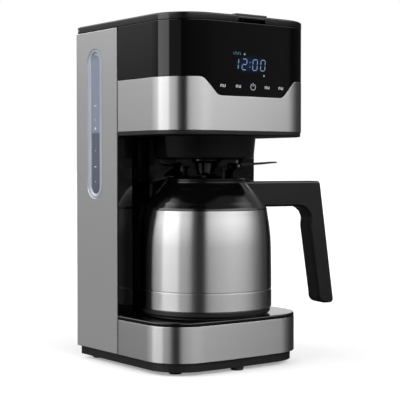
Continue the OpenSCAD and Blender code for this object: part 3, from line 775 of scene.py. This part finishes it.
class COFFEE_OT_display(Maker, bpy.types.Operator):
    """Lit clock digits and touch key marks on the fascia"""

    bl_idname = "coffee_maker.display"
    bl_label = "Display"

    def flat(self, bm, points):
        """A thin raised shape on the bowed front, from (x, height) points in millimetres."""
        bm.faces.new([bm.verts.new((x * MM, 0.0, z * MM)) for x, z in points])

    def raise_all(self, bm, lift=0.06 * MM, thick=0.3 * MM):
        """Gives the flat shapes a thickness and lays them on the bowed front."""
        grown = bmesh.ops.extrude_face_region(bm, geom=list(bm.faces))["geom"]
        back = {g for g in grown if isinstance(g, bmesh.types.BMVert)}
        for v in bm.verts:
            v.co.y = bow_y(v.co.x, HEAD_FRONT) + FASCIA_BACK - lift + (thick if v in back else 0.0)

    def bar(self, bm, x0, z0, x1, z1, wide):
        """A straight stroke with pointed ends."""
        a, b = Vector((x0, z0)), Vector((x1, z1))
        along = (b - a).normalized()
        side = Vector((-along.y, along.x)) * wide / 2
        tip = along * wide / 2
        self.flat(bm, [a, a + tip + side, b - tip + side, b, b - tip - side, a + tip - side])

    def hoop(self, bm, x, z, r, wide, a0=0.0, a1=360.0, n=20):
        for i in range(n):
            t0, t1 = (math.radians(a0 + (a1 - a0) * k / n) for k in (i, i + 1))
            self.flat(bm, [(x + q * math.cos(t), z + q * math.sin(t)) for q, t in
                           ((r - wide / 2, t0), (r + wide / 2, t0), (r + wide / 2, t1), (r - wide / 2, t1))])

    def make(self, sizes):
        tall = sizes.digit_height / MM
        half, wide, stroke = tall / 2, tall * 0.53, tall * 0.075
        base = CLOCK_BASE

        def digit(bm, left, glyph):
            g = stroke * 0.6
            lines = {
                "a": (g, tall, wide - g, tall), "g": (g, half, wide - g, half), "d": (g, 0, wide - g, 0),
                "b": (wide, half + g, wide, tall - g), "c": (wide, g, wide, half - g),
                "f": (0, half + g, 0, tall - g), "e": (0, g, 0, half - g),
            }
            for key in SEGMENTS[glyph]:
                x0, z0, x1, z1 = lines[key]
                slope = 0.09
                self.bar(bm, left + x0 + z0 * slope, base + z0, left + x1 + z1 * slope, base + z1, stroke)

        bm = bmesh.new()
        for left, glyph in CLOCK:
            digit(bm, left, glyph)
        for z in (3.0, 7.4):
            self.hoop(bm, -2.9 + z * 0.09, base + z, 0.25, 0.5, n=10)
        self.raise_all(bm)
        piece("display_digits", bm, "digits", "machine")

        bm = bmesh.new()
        self.hoop(bm, -9.0, 312.4, 0.5, 0.9, n=12)
        self.hoop(bm, 15.4, 292.4, 0.5, 0.9, n=12)
        self.raise_all(bm)
        piece("display_dots", bm, "dots", "machine")

        bm = bmesh.new()
        for i in range(5):
            x = -22.4 + 2.0 * i
            self.bar(bm, x, 311.6, x, 314.2, 0.5)
            self.bar(bm, x + 0.3, 311.9 + i % 2 * 2.0, x + 1.5, 311.9 + i % 2 * 2.0, 0.5)
        self.raise_all(bm)
        piece("display_label", bm, "label_blue", "machine")

        bm = bmesh.new()
        z = KEY_HEIGHT
        self.hoop(bm, POWER_KEY, z, 3.0, 0.55, 120, 420, 22)
        self.bar(bm, POWER_KEY, z + 0.4, POWER_KEY, z + 3.9, 0.6)
        for x in KEY_MARKS:
            for i in range(4):
                at = x - 2.6 + 1.75 * i
                self.bar(bm, at, z - 1.4, at, z + 1.4, 0.75)
            for side in (-1, 1):
                self.bar(bm, x - side * 2.2, z + side * 1.1, x - side * 0.4, z + side * 1.1, 0.6)
        self.raise_all(bm)
        piece("touch_key_marks", bm, "icons", "machine")


class COFFEE_OT_filter(Maker, bpy.types.Operator):
    """Filter housing and drip nozzle"""

    bl_idname = "coffee_maker.filter"
    bl_label = "Filter"

    def make(self, sizes):
        centre = (0.0, FILTER_Y)
        top_r = FILTER_HIGH.x - 5 * MM
        z0, z1 = FILTER_LOW.z, FILTER_HIGH.z
        bm = bmesh.new()
        rim = (0.241, 0.244)
        floor = millimetres([(5, 0, 0), (13.6, 0, 0.3), (14.4, 0.6, 0.3), (45.6, 0.6, 0.3), (46.2, 0, 0.3)], z=z0)
        spin(bm, rounded([
            *floor, (top_r - 2.5 * MM, z0, 2.6 * MM), (top_r, TRIM_HIGH.z - 2 * MM, 1.0 * MM), (top_r, rim[0], 0),
            (top_r + 5 * MM, rim[0], 0.6 * MM), (top_r + 5 * MM, rim[1], 0.6 * MM), (top_r, rim[1], 0),
            (top_r, z1, 0.4 * MM), (top_r - 2.4 * MM, z1, 0.4 * MM), (top_r - 2.4 * MM, TRIM_LOW.z + 1 * MM, 1.0 * MM),
            (top_r - 4.9 * MM, z0 + 2.5 * MM, 2.0 * MM), (5 * MM, z0 + 2.5 * MM, 0),
        ], 5), centre, 128, True)
        piece("filter_bowl", bm, "satin_black", "machine", ("filter_housing",))

        bm = bmesh.new()
        upper = [(3.4, 0, 0), (13, 0, 0.2), (13, -2.3, 0.8), (10.2, -3.9, 0.8), (9.0, -8.2, 1.0)]
        lower = [(7.4, 1.6, 1.0), (7.0, 0, 0.7), (2.7, 0, 0.3), (2.6, 2.5, 0), (3.4, 3.5, 0)]
        spout = millimetres(upper, z=NOZZLE_HIGH.z) + millimetres(lower, z=NOZZLE_LOW.z)
        spin(bm, rounded(spout, 4), centre, 72, True)
        piece("drip_spout", bm, "gloss_black", "machine", ("drip_nozzle",))
        coil("drip_spring", "machine")


class COFFEE_OT_lid(Maker, bpy.types.Operator):
    """Hinged lid with its grip tab, finger slot and hinge barrel"""

    bl_idname = "coffee_maker.lid"
    bl_label = "Lid"

    def make(self, sizes):
        low, top = LID_SEAM + 0.3 * MM, HINGE.z + (HINGE.z - LID_SEAM - 0.3 * MM)
        side, notch = 79.6 * MM, HINGE.y - 5 * MM

        def plan(inset, z, rear=0.0, slot=0.0):
            path = front_path(HEAD_FRONT, sizes.head_corner, inset, notch - inset)
            x, y = side - inset, HINGE.y - rear
            path = [Vector((x, y)), Vector((x, notch - inset)), *path, Vector((-x, notch - inset)), Vector((-x, y))]
            rows = []
            for p in path:
                under_tab = p.y < 0 and abs(p.x) < 17 * MM
                rows.append((p.x, p.y, max(z, low + slot) if under_tab else z))
            return rows

        e, slot = sizes.lid_edge, 3.4 * MM
        bm = bmesh.new()
        rings = loft(bm, [
            plan(2.6 * MM, top - 2.4 * MM, 4 * MM), plan(2.6 * MM, low, 4 * MM, slot), plan(0.4 * MM, low, 0.0, slot),
            plan(0.0, low + 0.4 * MM, 0.0, slot + 0.4 * MM), plan(0.0, top - e), plan(e * 0.13, top - e * 0.5),
            plan(e * 0.5, top - e * 0.13), plan(e, top),
        ])
        fill(bm, rings[0])
        fill(bm, rings[-1])
        end, r = 79.4 * MM, 3.5 * MM
        before = set(bm.verts)
        ends = [(0, -end, 0), (1.6 * MM, -end, 0), (r, -end, 0.5 * MM)]
        mirrored = [(x, -z, soft) for x, z, soft in reversed(ends)]
        spin(bm, rounded(ends + mirrored, 3), steps=32)
        barrel = [v for v in bm.verts if v not in before]
        bmesh.ops.rotate(bm, verts=barrel, cent=(0, 0, 0), matrix=Matrix.Rotation(math.pi / 2, 3, "Y"))
        bmesh.ops.translate(bm, verts=barrel, vec=(0.0, HINGE.y, HINGE.z))
        piece("lid_shell", bm, "satin_black", "lid", ("lid",))

        bm = bmesh.new()
        half, deep, tab_top = sizes.tab_width, 9 * MM, LID_HIGH.z

        def tab(inset, z):
            xs = [half - inset - (2 * half - 2 * inset) * i / 20 for i in range(21)]
            front = [Vector((x, bow_y(x, HEAD_FRONT) + 0.1 * MM + inset)) for x in xs]
            rear = -HEAD_FRONT + deep - inset
            return [(p.x, p.y, z) for p in [*front, Vector((-half + inset, rear)), Vector((half - inset, rear))]]

        rings = loft(bm, [tab(0.0, top - 1.9 * MM), tab(0.0, tab_top - 0.6 * MM),
                          tab(0.2 * MM, tab_top - 0.2 * MM), tab(0.7 * MM, tab_top)])
        fill(bm, rings[0])
        fill(bm, rings[-1])
        piece("lid_grip_tab", bm, "satin_black", "lid")


class COFFEE_OT_jug(Maker, bpy.types.Operator):
    """Steel body, base ring, collar and handle of the jug"""

    bl_idname = "coffee_maker.jug"
    bl_label = "Jug"

    def make(self, sizes):
        r, low, top = SHELL_HIGH.x, SHELL_LOW.z, SHELL_HIGH.z
        wall = 0.9 * MM
        body = curve_through(millimetres([
            (-0.1, 20.3, 0), (-0.3, 46, 0), (-0.6, 62, 0), (-0.9, 70, 0), (-1.6, 78, 0), (-2.6, 86, 0), (-3.9, 94, 0),
        ], r, low) + [(r - 4.8 * MM, top)], 5)
        foot = rounded(millimetres([
            (-1.2, 0, 0), (0, 1.2, 1.0), (0, 18.6, 0.3), (-0.7, 19.1, 0.15), (-0.7, 19.8, 0.15),
        ], r, low), 3)
        outer = foot + body
        inner = [Vector((p.x - wall, p.y)) for p in reversed(outer)]
        bm = bmesh.new()
        spin(bm, outer + inner, steps=160, closed=True)
        piece("jug_steel_body", bm, "jug_steel", "jug", ("jug_shell",))

        bm = bmesh.new()
        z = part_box("jug_base")[0].z
        spin(bm, rounded(millimetres([
            (0, 1, 0), (56, 1, 0.5), (57, 0, 0.4), (65, 0, 1.0), (66.4, 1.6, 0.8), (66.4, 5.1, 0.3), (65.6, 5.4, 0),
            (65.6, 11, 0), (64, 11, 0), (64, 3.5, 0), (0, 3.5, 0),
        ], z=z), 4), steps=128)
        piece("jug_foot_ring", bm, "black_plastic", "jug", ("jug_base",))

        bm = bmesh.new()
        z = COLLAR_HIGH.z
        edge = rounded(millimetres([(61.8, -1, 0), (61.8, 0.2, 0), (63.1, 0.2, 0.5), (62.3, 2.2, 0)], z=top), 4)
        slope = curve_through(millimetres([
            (62.2, 161.6, 0), (60, 164.8, 0), (57.5, 168.6, 0), (52, 175.8, 0), (46.6, 181.4, 0), (43.2, 184.6, 0),
        ]), 6)
        lip = millimetres([(41.4, 0, 0.6), (35, 0, 0.4), (35, -1.8, 0), (33.2, -1.8, 0)], z=z)
        inside = millimetres([(33.2, 174.6, 0), (40.6, 171.6, 0), (50.6, 164.8, 0), (56, 158, 0)])
        neck = rounded(millimetres([(42.0, 186.0, 0.4), (41.4, 186.8, 0.3)]) + lip + inside, 4)
        spin(bm, edge + slope[1:] + neck, steps=160, closed=True)
        piece("jug_shoulder", bm, "collar_black", "jug", ("jug_collar",))

        bm = bmesh.new()
        outline = (
            arc(0.1261, 0.184, 0.004, 90, 8, 8) + arc(0.1425, 0.0605, 0.004, 8, -90, 8)
            + arc(0.1363, 0.065, 0.0085, -90, -188, 12) + [Vector((0.1172, 0.14))] + arc(0.103, 0.146, 0.015, 8, 90, 12)
            + [Vector((0.0572, 0.161)), Vector((0.0392, 0.1879))]
        )
        outline = [Vector((p.x, min(p.y, 0.188))) for p in outline]
        root = outline.index(outline[-2])
        outline = outline[root + 1:] + outline[:root + 1]
        prism(bm, outline, sizes.handle_width, sizes.handle_edge, 1, 5)
        turn_to_handle(bm)
        piece("jug_grip", bm, "handle_black", "jug", ("jug_handle",), 30.0)

        bm = bmesh.new()
        strip = [(0.1279, 0.0735), (0.1296, 0.0735), (0.1199, 0.139), (0.1178, 0.139)]
        prism(bm, strip, 18.6 * MM, 0.25 * MM, 0, 2)
        turn_to_handle(bm)
        piece("grip_strip", bm, "rubber_feet", "jug", ("handle_insert",))


class COFFEE_OT_jug_lid(Maker, bpy.types.Operator):
    """Screw lid of the jug, its lever ears and its thumb lever"""

    bl_idname = "coffee_maker.jug_lid"
    bl_label = "Jug lid"

    def make(self, sizes):
        eased("jug_lid", "jug_lid", "collar_black", 0.5 * MM)
        eased("thumb_lever", "thumb_lever", "handle_black", 0.45 * MM)
        coil("pour_spring", "jug_lid")


class COFFEE_OT_inside(Maker, bpy.types.Operator):
    """Finishes of the carried-over inner parts"""

    bl_idname = "coffee_maker.inside"
    bl_label = "Inner parts"

    def make(self, sizes):
        slots = {part["node"]: part["material_slot"] for part in frame["record"]["subparts"]}
        for name, node in frame["nodes"].items():
            if not node.hide_render:
                node.data.materials.clear()
                node.data.materials.append(FINISHES[slots[name]])


# Light round the object by bearing: (degrees, strength). The raised ring lights from above, the strip and the
# side card at eye level.
VIEW_TURN = math.radians(36.82)
RING_LIGHT, STRIP_LIGHT, SIDE_LIGHT, REAR_LIGHT = 3.3, 2.3, 0.5, 1.0
SOFT_RING = [(-180, 0.3), (-137, 0.4), (-117, 0.5), (-100, 0.85), (-85, 1.1), (-62, 1.0), (-38, 0.8), (-28, 0.5),
             (-24, 0.0), (-3, 0.0), (1, 0.45), (8, 0.8), (24, 1.0), (48, 1.2), (66, 1.15), (82, 0.95), (93, 0.7),
             (112, 0.35), (124, 0.1), (150, 0.1), (180, 0.3)]
SOFT_STRIP = [(-83, 0.0), (-81.5, 1.0), (-49.5, 0.9), (-48, 0.08), (-18, 0.08), (-15, 0.0), (60, 0.02),
              (82, 0.05), (95, 0.0)]
SOFT_SIDE = [(-140, 0.0), (-125, 1.0), (-90, 1.0), (-83, 0.7), (-81, 0.0)]


class COFFEE_OT_stage(Maker, bpy.types.Operator):
    """Floor, world, soft lights and camera"""

    bl_idname = "coffee_maker.stage"
    bl_label = "Stage"

    def surroundings(self):
        """Soft boxes round the object, as light by compass bearing and height. Bearings are degrees to the
        right of the line from the object to the camera."""
        world = bpy.data.worlds.new("studio")
        bpy.context.scene.world = world
        made = Nodes(world)
        way = made.node("ShaderNodeTexCoord", output="Generated")
        x, y, z = (made.node("ShaderNodeSeparateXYZ", inputs={0: way}, output=k) for k in "XYZ")
        bearing = made.node("ShaderNodeMath", {"operation": "ARCTAN2"}, {0: x, 1: y * -1.0})
        turn = (bearing + VIEW_TURN) / math.tau + 1.5
        turn = turn.math("FRACT", turn)
        ring = made.steps(turn, [((b + 180) / 360, v / 2) for b, v in SOFT_RING], "EASE")
        strip = made.steps(turn, [((b + 180) / 360, v) for b, v in SOFT_STRIP])
        raised = made.steps(z, [(0.13, 0.0), (0.33, 1.0), (0.62, 1.0), (0.82, 0.05)], "EASE")
        low = made.steps(z + 0.5, [(0.35, 0.0), (0.42, 1.0), (0.78, 1.0), (0.9, 0.0)], "EASE")
        side = made.steps(turn, [((b + 180) / 360, v) for b, v in SOFT_SIDE])
        rise = made.steps(z + 0.5, [(0.33, 0.3), (0.45, 0.6), (0.54, 0.4), (0.575, 0.55), (0.64, 1.0)])
        rear = made.steps(turn.math("PINGPONG", turn, 0.5), [(0.02, 1.0), (0.06, 0.0)])
        behind = made.steps(z, [(0.0, 0.0), (0.03, 1.0), (0.2, 1.0), (0.3, 0.0)])
        light = (ring * raised * (2.0 * RING_LIGHT) + strip * low * STRIP_LIGHT + side * rise * SIDE_LIGHT
                 + rear * behind * REAR_LIGHT + 0.03)
        path = made.node("ShaderNodeLightPath", output="Is Camera Ray")
        dim = made.node("ShaderNodeBackground", inputs={0: (1.0, 1.0, 1.0), 1: light})
        white = made.node("ShaderNodeBackground", inputs={0: (1.0, 1.0, 1.0), 1: 1.0})
        mixed = made.node("ShaderNodeMixShader", inputs={0: path, 1: dim, 2: white})
        made.node("ShaderNodeOutputWorld", inputs={0: mixed}, output=None)

    def make(self, sizes):
        scene = bpy.context.scene
        bm = bmesh.new()
        bmesh.ops.create_grid(bm, x_segments=24, y_segments=24, size=30.0)
        mesh = bpy.data.meshes.new("floor")
        bm.to_mesh(mesh)
        bm.free()
        floor = bpy.data.objects.new("floor", mesh)
        scene.collection.objects.link(floor)
        pale = Finish("floor", Roughness=0.7, Specular_IOR_Level=0.1, Emission_Strength=0.3)
        haze = pale.noise((3.0,) * 3, 2.0)
        seen = pale.node("ShaderNodeLightPath", output="Is Camera Ray")
        tone = pale.blend(haze, (0.86, 0.86, 0.86), (0.88, 0.88, 0.88))
        pale.set(Base_Color=pale.blend(seen, (0.03, 0.03, 0.03), tone),
                 Emission_Color=pale.blend(seen, (0.0, 0.0, 0.0), (1.0, 1.0, 1.0)))
        mesh.materials.append(pale.material)
        self.surroundings()

        camera = bpy.data.objects.new("camera", bpy.data.cameras.new("camera"))
        scene.collection.objects.link(camera)
        camera.location = CAMERA_AT
        camera.rotation_euler = (math.pi / 2 - CAMERA_TILT, 0.0, -VIEW_TURN)
        camera.data.lens, camera.data.sensor_width = CAMERA_LENS, CAMERA_SENSOR
        camera.data.shift_x = CAMERA_SHIFT
        scene.camera = camera
        scene.view_settings.view_transform = "Standard"


OPERATORS = (
    COFFEE_OT_base, COFFEE_OT_tower, COFFEE_OT_head, COFFEE_OT_display, COFFEE_OT_filter, COFFEE_OT_lid,
    COFFEE_OT_jug, COFFEE_OT_jug_lid, COFFEE_OT_inside, COFFEE_OT_stage,
)


class COFFEE_PT_panel(bpy.types.Panel):
    """Lists the sizes, the colours and the pieces"""

    bl_idname = "COFFEE_PT_panel"
    bl_label = "Coffee maker"
    bl_space_type = "VIEW_3D"
    bl_region_type = "UI"
    bl_category = "Coffee maker"

    def draw(self, context):
        for group in (context.scene.coffee_sizes, context.scene.coffee_colours):
            for key in group.__annotations__:
                self.layout.prop(group, key)
        for operator in OPERATORS:
            self.layout.operator(operator.bl_idname)


CLASSES = (CoffeeMakerSizes, CoffeeMakerColours, *OPERATORS, COFFEE_PT_panel)


def register():
    for cls in CLASSES:
        bpy.utils.register_class(cls)
    bpy.types.Scene.coffee_sizes = bpy.props.PointerProperty(type=CoffeeMakerSizes)
    bpy.types.Scene.coffee_colours = bpy.props.PointerProperty(type=CoffeeMakerColours)


def unregister():
    del bpy.types.Scene.coffee_colours, bpy.types.Scene.coffee_sizes
    for cls in reversed(CLASSES):
        bpy.utils.unregister_class(cls)


def main():
    register()
    make_finishes()
    for operator in OPERATORS:
        group, name = operator.bl_idname.split(".")
        getattr(getattr(bpy.ops, group), name)()


if __name__ == "__main__":
    main()
